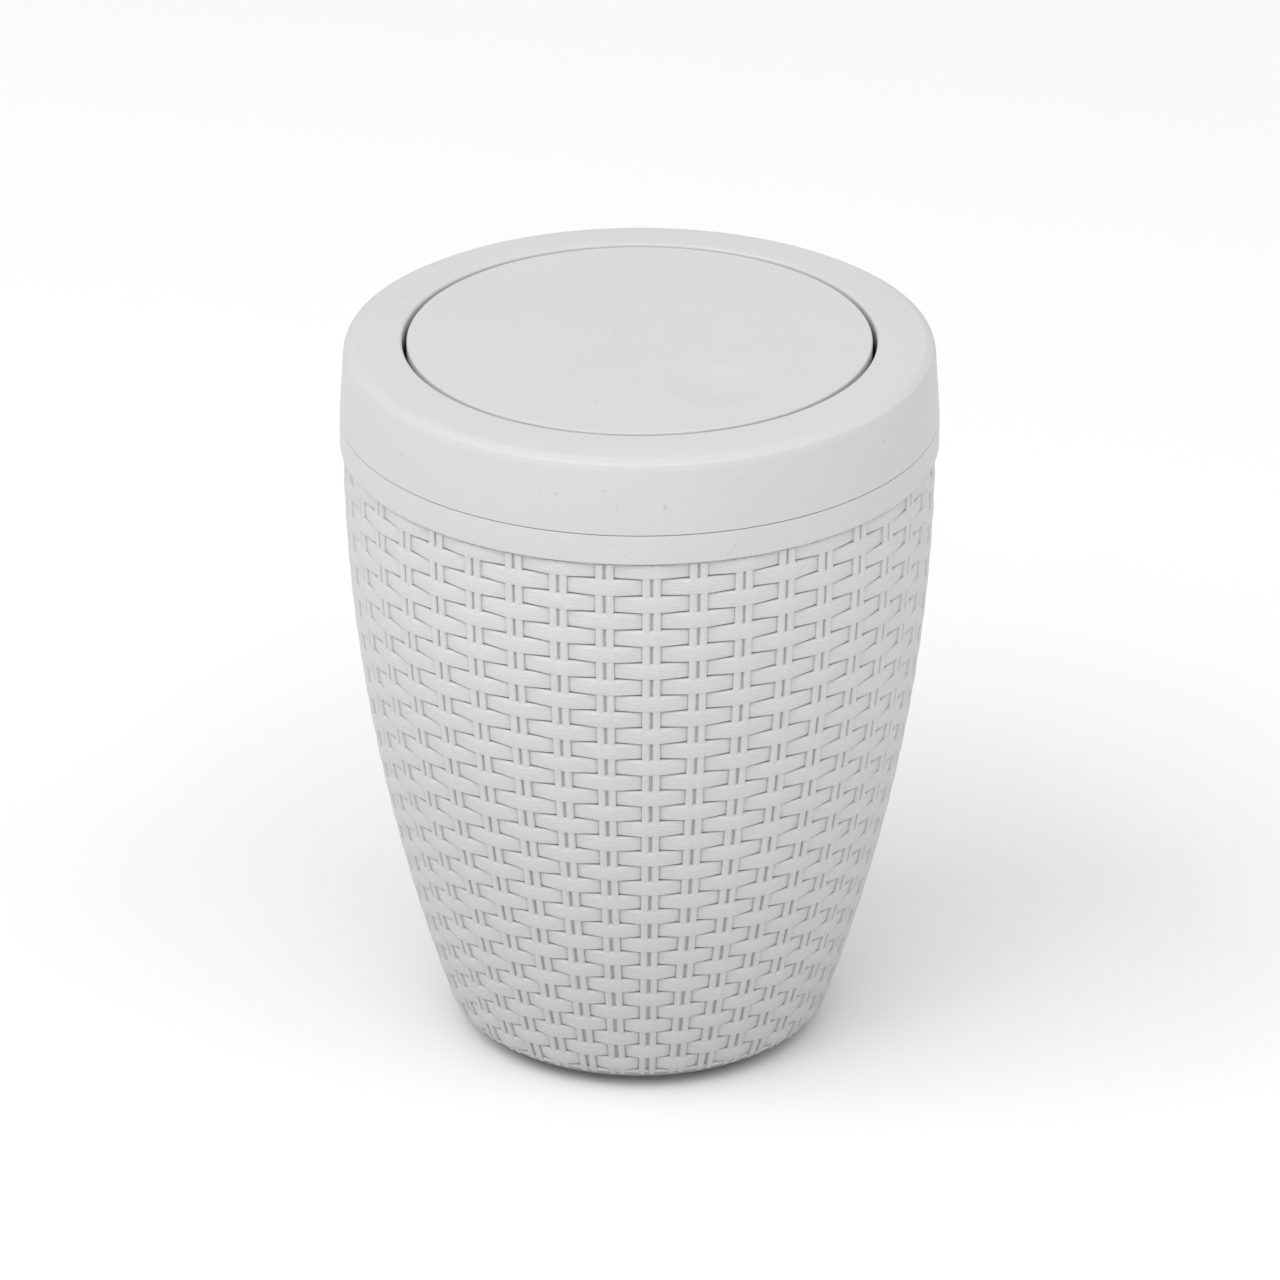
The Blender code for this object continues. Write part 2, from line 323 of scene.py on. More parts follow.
# How much of a tone is mixed in, and the range of noise, depth or height over which it comes
CLOUD_RANGE = (0.35, 0.68)
SPECK_SHARE = 0.30
# Painted shade on the base band by the foot
FOOT_PAINTED_SHADE_SHARE = 0.72
FIBRE_SHARE = 0.30
# Depths and heights of the dust and painted shade in the grooves, stronger towards the floor
DUST_AND_SHADE_DEPTHS = (0.0011, 0.0018)
GROOVE_DUST_AND_SHADE_HEIGHT = 0.22
GROOVE_DUST_AND_SHADE_SHARES = (1.0, 0.62)
# Painted shade that darkens the woven wall towards the bottom
LOW_WALL_SHADE_HEIGHT = 0.20
LOW_WALL_SHADE_SHARE = 0.30


class Nodes:
    """Short forms for building one material's node tree."""

    def __init__(self, name, roughness, specular=0.5):
        self.material = bpy.data.materials.new(name)
        self.material.use_nodes = True
        self.tree = self.material.node_tree
        self.shader = self.tree.nodes["Principled BSDF"]
        self.shader.inputs["Roughness"].default_value = roughness
        self.shader.inputs["Specular IOR Level"].default_value = specular

    def add(self, kind, inputs=None, **settings):
        """A new node. An input is a number, a colour or another node's socket."""
        node = self.tree.nodes.new(kind)
        for key, value in settings.items():
            setattr(node, key, value)
        for key, value in (inputs or {}).items():
            if isinstance(value, bpy.types.NodeSocket):
                self.tree.links.new(value, node.inputs[key])
            else:
                node.inputs[key].default_value = value
        return node

    def stretch(self, vector, scale):
        """Coordinates times a factor along each axis."""
        return self.add("ShaderNodeMapping", {"Vector": vector, "Scale": scale}).outputs["Vector"]

    def place(self, scale=(1, 1, 1)):
        """Coordinates of the piece in metres, stretched by scale."""
        return self.stretch(self.add("ShaderNodeTexCoord").outputs["Object"], scale)

    def attribute(self, name, output="Fac"):
        """A value that is stored on the mesh's points."""
        return self.add("ShaderNodeAttribute", attribute_name=name).outputs[output]

    def noise(self, vector, scale, detail=3.0, roughness=0.55):
        """Cloudy noise about 0.5, with scale features to a unit of the coordinates."""
        settings = {"Vector": vector, "Scale": scale, "Detail": detail, "Roughness": roughness}
        return self.add("ShaderNodeTexNoise", settings).outputs["Fac"]

    def spread(self, value, low, high, to_low=0.0, to_high=1.0):
        """The value's range low to high, stretched to another and clamped."""
        settings = {"Value": value, "From Min": low, "From Max": high}
        settings |= {"To Min": to_low, "To Max": to_high}
        return self.add("ShaderNodeMapRange", settings).outputs["Result"]

    def maths(self, operation, first, second):
        """The sum, product or other result of two numbers."""
        node = self.add("ShaderNodeMath", {0: first, 1: second}, operation=operation)
        return node.outputs["Value"]

    def by_height(self, high, to_floor, to_high):
        """A number that goes from one value at the floor to another at the height high and above."""
        where = self.add("ShaderNodeTexCoord").outputs["Object"]
        height = self.add("ShaderNodeSeparateXYZ", {"Vector": where}).outputs["Z"]
        return self.spread(height, 0, high, to_floor, to_high)

    def mix(self, share, first, second):
        """A colour between two others."""
        node = self.add("ShaderNodeMix", {"Factor": share}, data_type="RGBA")
        for key, value in (("A", first), ("B", second)):
            socket = next(s for s in node.inputs if s.name == key and s.type == "RGBA")
            if isinstance(value, bpy.types.NodeSocket):
                self.tree.links.new(value, socket)
            else:
                socket.default_value = (*value, 1)
        return next(s for s in node.outputs if s.type == "RGBA")

    def blend(self, share, first, second):
        """A number between two others."""
        node = self.add("ShaderNodeMix", {"Factor": share, "A": first, "B": second}, data_type="FLOAT")
        return node.outputs["Result"]

    def use(self, socket, name):
        """Sets one of the shader's inputs from a socket."""
        self.tree.links.new(socket, self.shader.inputs[name])

    def use_bump(self, height, distance):
        """Gives the surface a relief that is distance deep where the height goes from 0 to 1."""
        normal = self.add("ShaderNodeBump", {"Height": height, "Distance": distance}).outputs["Normal"]
        self.use(normal, "Normal")


def smooth_plastic(name, colour, shade, roughness, scuffs):
    """Moulded plastic with a very fine spark texture, cloudy tone, specks, scuffs and painted shade on
    the base band by the foot.
    """
    nodes = Nodes(name, roughness)
    place = nodes.place()
    cloud = nodes.spread(nodes.noise(place, 14, detail=4), *CLOUD_RANGE)
    tone = nodes.mix(cloud, colour, shade)
    specks = nodes.spread(nodes.noise(place, 420, detail=1), 0.745, 0.79, 0, SPECK_SHARE)
    tone = nodes.mix(specks, tone, SPECK_TONE)
    streaks = nodes.noise(nodes.place((55, 55, 420)), 1, detail=5, roughness=0.7)
    patches = nodes.spread(nodes.noise(place, 26, detail=2), 0.60, 0.74)
    scuff = nodes.maths("MULTIPLY", nodes.spread(streaks, 0.60, 0.72, 0, scuffs), patches)
    tone = nodes.mix(scuff, tone, SCUFF_TONE)
    # Painted shade: the base band by the foot is darkened, standing in for the contact shade there
    painted_foot_shade = nodes.maths("MULTIPLY", nodes.attribute("foot_painted_shade"), FOOT_PAINTED_SHADE_SHARE)
    nodes.use(nodes.mix(painted_foot_shade, tone, FOOT_PAINTED_SHADE_TONE), "Base Color")
    dull = nodes.noise(place, 60, detail=3)
    dull = nodes.spread(dull, 0.3, 0.7, roughness - 0.04, roughness + 0.06)
    nodes.use(nodes.maths("ADD", dull, scuff), "Roughness")
    nodes.use_bump(nodes.noise(place, 2600, detail=2, roughness=0.6), 0.000045)
    return nodes.material


def woven_plastic(name, colour, shade, roughness):
    """Moulded wicker: fibres along the strands and down the stakes, dust and painted shade in the
    grooves, stronger low down, and painted shade darkening the wall towards the bottom.
    """
    nodes = Nodes(name, roughness)
    along = nodes.attribute("weave_place", "Vector")
    across = nodes.noise(nodes.stretch(along, (210, 1700, 1)), 1, detail=3, roughness=0.6)
    down = nodes.noise(nodes.stretch(along, (2000, 150, 1)), 1, detail=3, roughness=0.6)
    grain = nodes.blend(nodes.attribute("weave_stake"), across, down)
    place = nodes.place()
    cloud = nodes.spread(nodes.noise(place, 11, detail=4), *CLOUD_RANGE)
    tone = nodes.mix(cloud, colour, shade)
    tone = nodes.mix(nodes.spread(grain, 0.36, 0.60, FIBRE_SHARE, 0), tone, FIBRE_TONE)
    # Dust and painted shade in the grooves, by depth, stronger towards the floor
    groove_dust_and_shade_most = nodes.by_height(GROOVE_DUST_AND_SHADE_HEIGHT, *GROOVE_DUST_AND_SHADE_SHARES)
    groove_dust_and_shade = nodes.spread(nodes.attribute("weave_depth"), *DUST_AND_SHADE_DEPTHS, 0, groove_dust_and_shade_most)
    tone = nodes.mix(groove_dust_and_shade, tone, GROOVE_DUST_AND_SHADE_TONE)
    # Painted shade: the woven wall is darker towards the bottom
    low_wall_shade = nodes.by_height(LOW_WALL_SHADE_HEIGHT, LOW_WALL_SHADE_SHARE, 0)
    nodes.use(nodes.mix(low_wall_shade, tone, LOW_WALL_SHADE_TONE), "Base Color")
    nodes.use(nodes.spread(grain, 0.3, 0.7, roughness + 0.05, roughness - 0.03), "Roughness")
    fine = nodes.maths("MULTIPLY", nodes.noise(place, 2300, detail=1), 0.25)
    nodes.use_bump(nodes.maths("ADD", grain, fine), 0.00040)
    return nodes.material


def plated_steel(name):
    """Zinc-plated flat bar: fine lengthwise drawing marks and faint spangle."""
    nodes = Nodes(name, 0.36)
    nodes.shader.inputs["Metallic"].default_value = 1.0
    drawn = nodes.noise(nodes.place((30, 1800, 1800)), 1, detail=4, roughness=0.65)
    cells = {"Vector": nodes.place(), "Scale": 320}
    spangle = nodes.add("ShaderNodeTexVoronoi", cells).outputs["Distance"]
    tone = nodes.mix(nodes.spread(spangle, 0.2, 0.8), (0.56, 0.57, 0.59), (0.66, 0.67, 0.68))
    tone = nodes.mix(nodes.spread(drawn, 0.5, 0.75, 0, 0.5), tone, (0.42, 0.42, 0.44))
    nodes.use(tone, "Base Color")
    nodes.use(nodes.spread(drawn, 0.3, 0.7, 0.28, 0.46), "Roughness")
    nodes.use_bump(drawn, 0.00003)
    return nodes.material


def floor_paper(name):
    """Pale seamless paper."""
    nodes = Nodes(name, 0.9, specular=0.1)
    grain = nodes.noise(nodes.place(), 900, detail=2)
    nodes.use(nodes.mix(grain, (0.875, 0.875, 0.875), (0.885, 0.885, 0.885)), "Base Color")
    return nodes.material


tub_plastic = smooth_plastic(
    "tub_plastic_smooth",
    colour=(0.585, 0.583, 0.588),
    shade=(0.575, 0.573, 0.578),
    roughness=0.46,
    scuffs=0.10,
)
weave_plastic = woven_plastic(
    "tub_plastic_woven",
    colour=(0.634, 0.632, 0.636),
    shade=(0.618, 0.616, 0.620),
    roughness=0.50,
)
lid_plastic = smooth_plastic(
    "lid_plastic_satin",
    colour=(0.590, 0.588, 0.593),
    shade=(0.578, 0.576, 0.581),
    roughness=0.42,
    scuffs=0.10,
)
pin_plastic = smooth_plastic(
    "pin_plastic_gloss",
    colour=(0.63, 0.63, 0.62),
    shade=(0.61, 0.61, 0.60),
    roughness=0.30,
    scuffs=0.03,
)
bar_steel = plated_steel("bar_steel_plated")


# ---------------------------------------------------------------- tub


def wall_radius(z):
    """Outside radius of the wall's envelope at height z, above the rounded bottom edge."""
    return WALL_TOP_RADIUS - WALL_TAPER * (1 - z / BAND_BOTTOM) ** 2


def wall_lean(z):
    """Angle in radians by which the wall leans out from upright at height z."""
    return np.arctan(2 * WALL_TAPER / BAND_BOTTOM * (1 - z / BAND_BOTTOM))


def wall_curve(radius, lowest, inset):
    """The wall from the band down, moved in by inset and rounded at its foot: arrays of r, z, lean."""
    joint = lowest + radius * (1 - math.sin(wall_lean(lowest + radius)))
    lean = float(wall_lean(joint))
    centre_r = wall_radius(joint) - inset - radius * math.cos(lean)
    z = np.linspace(BAND_BOTTOM, joint, WALL_STEPS)
    turn = np.linspace(lean, math.pi / 2, EDGE_STEPS)[1:]
    all_r = np.concatenate([wall_radius(z) - inset, centre_r + radius * np.cos(turn)])
    all_z = np.concatenate([z, lowest + radius - radius * np.sin(turn)])
    return all_r, all_z, np.concatenate([wall_lean(z), turn])


WALL_R, WALL_Z, WALL_LEAN = wall_curve(EDGE_RADIUS, FOOT_HEIGHT, 0)
WALL_S = np.concatenate([[0], np.cumsum(np.hypot(np.diff(WALL_R), np.diff(WALL_Z)))])


def wall_point(along, outwards):
    """(r, z) of points at a length along the wall from the band, moved out by outwards."""
    lean = np.interp(along, WALL_S, WALL_LEAN)
    r = np.interp(along, WALL_S, WALL_R) + outwards * np.cos(lean)
    z = np.interp(along, WALL_S, WALL_Z) - outwards * np.sin(lean)
    past_band = np.maximum(-along, 0)
    return r, z + past_band


def is_base_band(r, z):
    """Whether points of the tub's body lie on the rounded outside between the weave and the foot."""
    margin = 0.0006
    from_centre = np.hypot(r - WALL_R[-1], z - FOOT_HEIGHT - EDGE_RADIUS)
    outside = from_centre > EDGE_RADIUS - BASE_SINK - margin
    return outside & (r > FOOT_OUTER) & (z < wall_point(BASE_TOP, 0)[1])


def make_tub_body():
    """The band, lip, inside, base and foot, with a plain surface behind the weave."""
    lip_inner = LIP_RADIUS - LIP_THICKNESS
    inner_r, inner_z, _ = wall_curve(EDGE_RADIUS - WALL_THICKNESS, FLOOR_TOP, WALL_THICKNESS)
    last = len(inner_r) - 1
    picked = [*range(0, WALL_STEPS, 16), *range(WALL_STEPS + 2, last + 1, 9), last]
    outline = [(0, FLOOR_TOP)]
    outline += [(inner_r[i], inner_z[i]) for i in reversed(picked)]
    outline += [(lip_inner, SEAM_HEIGHT)]
    outline += arc((lip_inner + LIP_ROUND, LIP_TOP - LIP_ROUND), LIP_ROUND, 180, 90, 4)
    outline += arc((LIP_RADIUS - LIP_ROUND, LIP_TOP - LIP_ROUND), LIP_ROUND, 90, 0, 4)
    corner = (LIP_RADIUS + LIP_FOOT_FILLET, SEAM_HEIGHT + LIP_FOOT_FILLET)
    outline += arc(corner, LIP_FOOT_FILLET, 180, 270, 3)
    outline += arc((RIM_RADIUS - SEAM_ROUND, SEAM_HEIGHT - SEAM_ROUND), SEAM_ROUND, 90, 0, 5)
    outline += arc((RIM_RADIUS - BAND_ROUND, BAND_BOTTOM + BAND_ROUND), BAND_ROUND, 0, -90, 6)
    under = np.linspace(0, BASE_TOP - 0.0002, 40)
    outline += list(zip(*wall_point(under, -SKIN_DEPTH)))
    edge_rounding = [(0, 0.0003), (0.0002, 0.00008)]
    outline += [wall_point(BASE_TOP + along, -BASE_SINK - fall) for along, fall in edge_rounding]
    base = np.linspace(BASE_TOP + 0.0005, WALL_S[-1], 12)
    outline += list(zip(*wall_point(base, -BASE_SINK)))
    outline += arc((FOOT_OUTER - FOOT_ROUND, FOOT_ROUND), FOOT_ROUND, 0, -90, 3)
    outline += arc((FOOT_INNER + FOOT_ROUND, FOOT_ROUND), FOOT_ROUND, -90, -180, 3)
    outline += arc((FOOT_INNER - FOOT_FILLET, BASE_UNDERSIDE - FOOT_FILLET), FOOT_FILLET, 0, 90, 3)
    outline += arc((GATE_STUB_RADIUS, BASE_UNDERSIDE), GATE_STUB_HEIGHT, 0, -90, 3)
    outline += [(0, BASE_UNDERSIDE - GATE_STUB_HEIGHT)]
    mesh = turned_mesh("tub_body", [(float(r), float(z)) for r, z in outline])
    x, y, z = mesh_points(mesh).T
    # Marks the base band that gets the painted shade at the foot
    mark_points(mesh, "foot_painted_shade", is_base_band(np.hypot(x, y), z))
    make_piece(mesh, "tub", tub_plastic, replaced=["tub"])


def round_off(distance, half, rounding, fall):
    """How far a face has fallen at a distance from its middle line, for an edge rounded by fall."""
    share = np.clip((distance - (half - rounding)) / rounding, 0, 1)
    return fall * (1 - np.sqrt(1 - share**2))


def nearest_row(row_at):
    """Number of the row of strands that is nearest to a length along the wall."""
    return np.clip(np.floor((row_at - FIRST_ROW) / ROW_PITCH + 0.5), 0, ROWS - 1)


def row_positions():
    """Lengths along the wall at which the weave's mesh has a line, close together at the edges."""
    upper = STRAND_HALF - STRAND_TOP_ROUND * np.array([0, 0.07, 0.28, 0.6, 1])
    middle = 0.0003
    lower = STRAND_HALF - STRAND_FOOT_ROUND * np.array([1, 0.45, 0.13, 0])
    beside = STRAND_HALF + ROW_SIDE_RUN
    across = np.array([-beside, *-upper, middle, *lower, beside])
    first = np.where(across < 0, across * (FIRST_ROW - BAND_GROOVE) / STRAND_HALF, across)
    lines = [FIRST_ROW - ROW_PITCH / 2, *(FIRST_ROW + first)]
    for row in range(1, ROWS):
        lines += list(FIRST_ROW + row * ROW_PITCH + across)
    lines.append(LAST_GROOVE)
    tips = np.sqrt(np.linspace(0, 1, 9)[1:])
    lines += list(LAST_GROOVE + (STAKE_END - LAST_GROOVE) * tips)
    lines.append(STAKE_END + 0.0002)
    return np.array(lines)


def column_offsets(edge, gap, pitch):
    """Distances from one pair's middle towards the next, at every mesh line between the two."""
    stake = edge - gap
    strand_end = edge + END_ROUND + 0.00005
    half = [np.zeros_like(edge), gap - STAKE_SIDE_RUN]
    half += [gap + stake * share for share in (0, 0.05, 0.2, 0.5, 0.8, 0.95, 1)]
    half += [edge + STAKE_SIDE_RUN, strand_end, (strand_end + pitch / 2) / 2]
    return half + [pitch - line for line in reversed(half)]


def strand_relief(row_at, phase, edge, pitch):
    """Depth of the strands, at a distance called phase from the pair that a strand passes over."""
    row = nearest_row(row_at)
    across = row_at - FIRST_ROW - row * ROW_PITCH
    slope = np.clip((phase - edge * DIP_START) / (pitch - edge * (1 + DIP_START)), 0, 1)
    dip = np.where(slope < DIP_EASE, slope**2 / (2 * DIP_EASE), slope - DIP_EASE / 2)
    depth = STRAND_DIP * dip / (1 - DIP_EASE / 2) * (1 + DIP_GROWTH * row_at)
    under_next = phase > pitch / 2
    depth += np.where(under_next, round_off(phase, pitch - edge, END_ROUND, END_FALL), 0)
    top_round = STRAND_TOP_ROUND + (STRAND_END_ROUND - STRAND_TOP_ROUND) * slope
    above = np.where(row == 0, FIRST_ROW - BAND_GROOVE, STRAND_HALF)
    depth += round_off(-across, above, top_round, STRAND_TOP_FALL * top_round / STRAND_TOP_ROUND)
    depth += round_off(across, STRAND_HALF, STRAND_FOOT_ROUND, STRAND_FOOT_FALL)
    in_groove = (across > STRAND_HALF + SAME_LINE) | (-across > above + SAME_LINE)
    return np.where(in_groove, GROOVE_DEPTH, depth)


def stake_relief(row_at, nearest, edge, gap):
    """Depth of the stakes, at a distance from the nearest pair's middle, and whether one is there."""
    middle = (gap + edge) / 2
    half = (edge - gap) / 2
    to_tip = np.clip((row_at - (STAKE_END - half)) / half, 0, 1)
    half = half * np.sqrt(np.clip(1 - to_tip**2, STAKE_TIP_LEAST, 1))
    share = np.clip(np.abs(nearest - middle) / half, 0, 1)
    depth = STAKE_SINK + STAKE_ROUND * (1 - np.sqrt(1 - share**STAKE_SQUARENESS))
    depth += STAKE_TIP_FALL * to_tip**3
    inside = np.abs(nearest - middle) <= half + SAME_LINE
    return np.where(inside, depth, GROOVE_DEPTH), inside


def relief(row_at, offset, edge, gap, pitch, left_pair):
    """Depth below the wall's envelope, and whether a stake is on top."""
    over_left = (nearest_row(row_at) + left_pair) % 2 == 1
    phase = np.where(over_left, offset, pitch - offset)
    nearest = np.minimum(offset, pitch - offset)
    strand = strand_relief(row_at, phase, edge, pitch)
    stake, inside = stake_relief(row_at, nearest, edge, gap)
    between = (nearest < gap - SAME_LINE) & (row_at < LAST_GROOVE)
    floor = np.where(between, GAP_DEPTH, GROOVE_DEPTH)
    strand = np.where(between & (phase > pitch / 2), floor, strand)
    depth = np.minimum(np.minimum(strand, stake), floor)
    depth = np.where(row_at < BAND_GROOVE - SAME_LINE, GROOVE_DEPTH, depth)
    pair = left_pair + (offset > pitch / 2)
    at_mould_line = (nearest < SAME_LINE) & (strand < floor) & (pair % (PAIRS // 2) == 0)
    return depth + MOULD_LINE * at_mould_line, (stake <= strand) & inside


def weave_quarter(name, start):
    """One closed quarter of the weave's skin, starting at the middle of the pair numbered start."""
    pitch_angle = 2 * math.pi / PAIRS
    rows = row_positions()
    edge = STAKE_EDGE_TOP - STAKE_NARROWING * rows
    gap = GAP_HALF_TOP + GAP_WIDENING * rows
    radius = wall_point(rows, 0)[0]
    pitch = pitch_angle * radius
    pairs = range(start, start + PAIRS // 4)
    offsets = column_offsets(edge, gap, pitch)
    columns = [(pair, offset) for pair in pairs for offset in offsets[:-1]] + [(pairs[-1], pitch)]
    angle = np.array([FIRST_PAIR + pitch_angle * pair + offset / radius for pair, offset in columns]).T
    results = [relief(rows, offset, edge, gap, pitch, pair) for pair, offset in columns]
    depth = np.array([result[0] for result in results]).T
    on_stake = np.array([result[1] for result in results]).T
    front = wall_grid(rows, angle, depth)
    back_rows = np.linspace(rows[0], rows[-1], BACK_LINES)
    back = wall_grid(back_rows, np.tile(angle[0], (BACK_LINES, 1)), BACK_DEPTH)
    mesh = closed_sheet(name, front, back)
    around = angle * WALL_TOP_RADIUS
    down = np.repeat(rows[:, None], len(columns), 1)
    place = np.stack([around, down, np.zeros_like(around)], -1)
    padding = np.zeros(back.shape[:2])
    place = np.concatenate([place, np.stack([padding] * 3, -1)]).astype(np.float32)
    mesh.attributes.new("weave_place", "FLOAT_VECTOR", "POINT").data.foreach_set("vector", place.ravel())
    mark_points(mesh, "weave_stake", np.concatenate([on_stake, padding]))
    mark_points(mesh, "weave_depth", np.concatenate([depth, padding]))
    return mesh


def wall_grid(rows, angle, depth):
    """Points at lengths along the wall, angles round it and depths below its envelope."""
    r, z = wall_point(rows[:, None] + np.zeros_like(angle), -depth)
    return np.stack([r * np.sin(angle), -r * np.cos(angle), z], -1)


def closed_sheet(name, front, back):
    """A solid between two grids of points that share their number of columns."""
    count, width = front.shape[:2]
    numbers = np.arange(count * width).reshape(count, width)
    back_numbers = count * width + np.arange(len(back) * width).reshape(-1, width)

    def quads(grid):
        corners = [grid[:-1, :-1], grid[1:, :-1], grid[1:, 1:], grid[:-1, 1:]]
        return np.stack(corners, -1).reshape(-1, 4)

    faces = quads(numbers).tolist() + quads(back_numbers)[:, ::-1].tolist()
    faces += quads(np.stack([back_numbers[0], numbers[0]])).tolist()
    faces += quads(np.stack([numbers[-1], back_numbers[-1]])).tolist()
    faces.append(numbers[::-1, 0].tolist() + back_numbers[:, 0].tolist())
    faces.append(numbers[:, -1].tolist() + back_numbers[::-1, -1].tolist())
    mesh = bpy.data.meshes.new(name)
    mesh.from_pydata(np.concatenate([front.reshape(-1, 3), back.reshape(-1, 3)]), [], faces)
    return mesh


def make_weave():
    """The woven wall, in quarters to keep each mesh's size down."""
    for index, side in enumerate(("front", "right", "back", "left")):
        mesh = weave_quarter("woven_wall_" + side, index * PAIRS // 4)
        make_piece(mesh, "tub", weave_plastic, sharp=50)


# ---------------------------------------------------------------- lid ring


def make_lid_ring():
    """Sloping top, rounded outer edge, skirt, collar and two pin sockets."""
    edge_r = OPENING_RADIUS + OPENING_ROUND
    fillet_r = RING_TOP_RADIUS - RING_FILLET
    fillet_z = TOTAL_HEIGHT - RING_DROP - RING_FILLET
    steepness = math.degrees(math.atan2(RING_DROP, fillet_r - edge_r))
    skirt_foot = SEAM_HEIGHT + FIT_GAP
    inner_fillet = RING_FILLET - RING_WALL
    collar_outer = OPENING_RADIUS + RING_WALL
    collar_foot = TOTAL_HEIGHT - COLLAR_DEPTH
    collar_round = 0.0006
    inner_round = 0.0003
    corner = 0.0008
    under = TOTAL_HEIGHT - RING_WALL - 0.0001
    outline = arc((edge_r, TOTAL_HEIGHT - OPENING_ROUND), OPENING_ROUND, 180, 90, 8)
    shoulder = arc((fillet_r, fillet_z), RING_FILLET, 90 - steepness, BEVEL_END, 1)
    skirt_top = (RING_TOP_RADIUS, fillet_z)
    skirt_end = (RIM_RADIUS, skirt_foot + SEAM_ROUND)
    outline += soften([outline[-1], *shoulder, skirt_top, skirt_end], reach=0.0006)[1:-1]
    outline += arc((RIM_RADIUS - SEAM_ROUND, skirt_foot + SEAM_ROUND), SEAM_ROUND, 0, -90, 5)
    skirt_inner = RIM_RADIUS - RING_WALL
    outline += arc((skirt_inner + inner_round, skirt_foot + inner_round), inner_round, -90, -180, 3)
    outline += arc((fillet_r, fillet_z), inner_fillet, 3, 90 - steepness, 6)
    outline += arc((collar_outer + corner, under - corner), corner, 90, 180, 4)
    collar_round_z = collar_foot + collar_round
    outline += arc((collar_outer - collar_round, collar_round_z), collar_round, 0, -90, 4)
    outline += arc((OPENING_RADIUS + collar_round, collar_round_z), collar_round, -90, -180, 4)
    mesh = turned_mesh("lid_ring_shell", outline)
    start = OPENING_RADIUS + RING_WALL / 2
    draft = 0.0002
    boss_outline = [(0, start), (SOCKET_RADIUS + draft, start)]
    boss_outline += arc((SOCKET_RADIUS - BOSS_RIM, SOCKET_END - BOSS_RIM), BOSS_RIM, 0, 90, 4)
    boss_outline += [(0, SOCKET_END)]
    for sign in SIDES.values():
        boss = lay_along_x(turned_mesh("boss", boss_outline, 48), sign)
        mesh = change_mesh(mesh, boss, "UNION")
        bore = bore_mesh(SOCKET_BORE, start - RING_WALL, SOCKET_END + RING_WALL, sign)
        mesh = change_mesh(mesh, bore, "DIFFERENCE")
    make_piece(mesh, "lid", lid_plastic, replaced=["lid_ring"])


# ---------------------------------------------------------------- flap


def press_fall(x, y):
    """How far the press mark lies below the flap's top."""
    distance = np.hypot(x, y + PRESS_OFFSET) / PRESS_RADIUS
    return PRESS_DEPTH * np.clip(1 - distance**2, 0, None) ** PRESS_FULLNESS


def make_flap_plate():
    """The flap's plate with its skirt, dished by the press mark on both faces."""
    inner = FLAP_RADIUS - FLAP_SKIRT_WALL
    skirt_foot = FLAP_TOP - FLAP_SKIRT_DEPTH
    under = FLAP_TOP - FLAP_PLATE
    foot_round = 0.0006
    corner = 0.0010
    outline = [(float(r), FLAP_TOP) for r in np.linspace(0, FLAP_RADIUS - FLAP_ROUND - 0.0008, 62)]
    outline += arc((FLAP_RADIUS - FLAP_ROUND, FLAP_TOP - FLAP_ROUND), FLAP_ROUND, 90, 0, 8)
    outline += arc((FLAP_RADIUS - foot_round, skirt_foot + foot_round), foot_round, 0, -90, 4)
    outline += arc((inner + foot_round, skirt_foot + foot_round), foot_round, -90, -180, 4)
    outline += arc((inner - corner, under - corner), corner, 0, 90, 4)
    outline += [(float(r), under) for r in np.linspace(inner - corner - 0.0006, 0, 40)]
    mesh = turned_mesh("flap_plate", outline)
    points = mesh_points(mesh)
    on_plate = points[:, 2] > under - 0.0001
    points[on_plate, 2] -= press_fall(points[on_plate, 0], points[on_plate, 1])
    mesh.vertices.foreach_set("co", points.ravel())
    for sign in SIDES.values():
        bore = bore_mesh(BOSS_BORE, inner - FLAP_SKIRT_WALL, FLAP_RADIUS + FLAP_SKIRT_WALL, sign)
        mesh = change_mesh(mesh, bore, "DIFFERENCE")
    make_piece(mesh, "flap", lid_plastic, replaced=["flap"])


def make_flap_ribs():
    """Two crossing ribs, set into the underside of the plate."""
    under = FLAP_TOP - FLAP_PLATE
    span = 2 * (FLAP_RADIUS - FLAP_SKIRT_WALL - 0.0001)
    depth = RIB_DEPTH + RIB_OVERLAP
    centre = Vector((0, 0, under - RIB_DEPTH + depth / 2))
    sizes = {"long": (span, RIB_THICKNESS, depth), "cross": (RIB_THICKNESS, span, depth)}
    for name, size in sizes.items():
        mesh = rounded_block_mesh("flap_rib_" + name, centre, size, 0.00045)
        make_piece(mesh, "flap", lid_plastic)


def make_flap_bosses():
    """A tube for each pin, inside the skirt."""
    outer_end = BOSS_OUTER_END - 0.0004
    outline = arc((BOSS_RADIUS - BOSS_RIM, BOSS_INNER_END + BOSS_RIM), BOSS_RIM, 0, -90, 4)
    outline += [(BOSS_BORE, BOSS_INNER_END), (BOSS_BORE, outer_end), (BOSS_RADIUS, outer_end)]
    for side, sign in SIDES.items():
        mesh = lay_along_x(turned_mesh("flap_boss_" + side, outline, 64), sign)
        make_piece(mesh, "flap", lid_plastic)


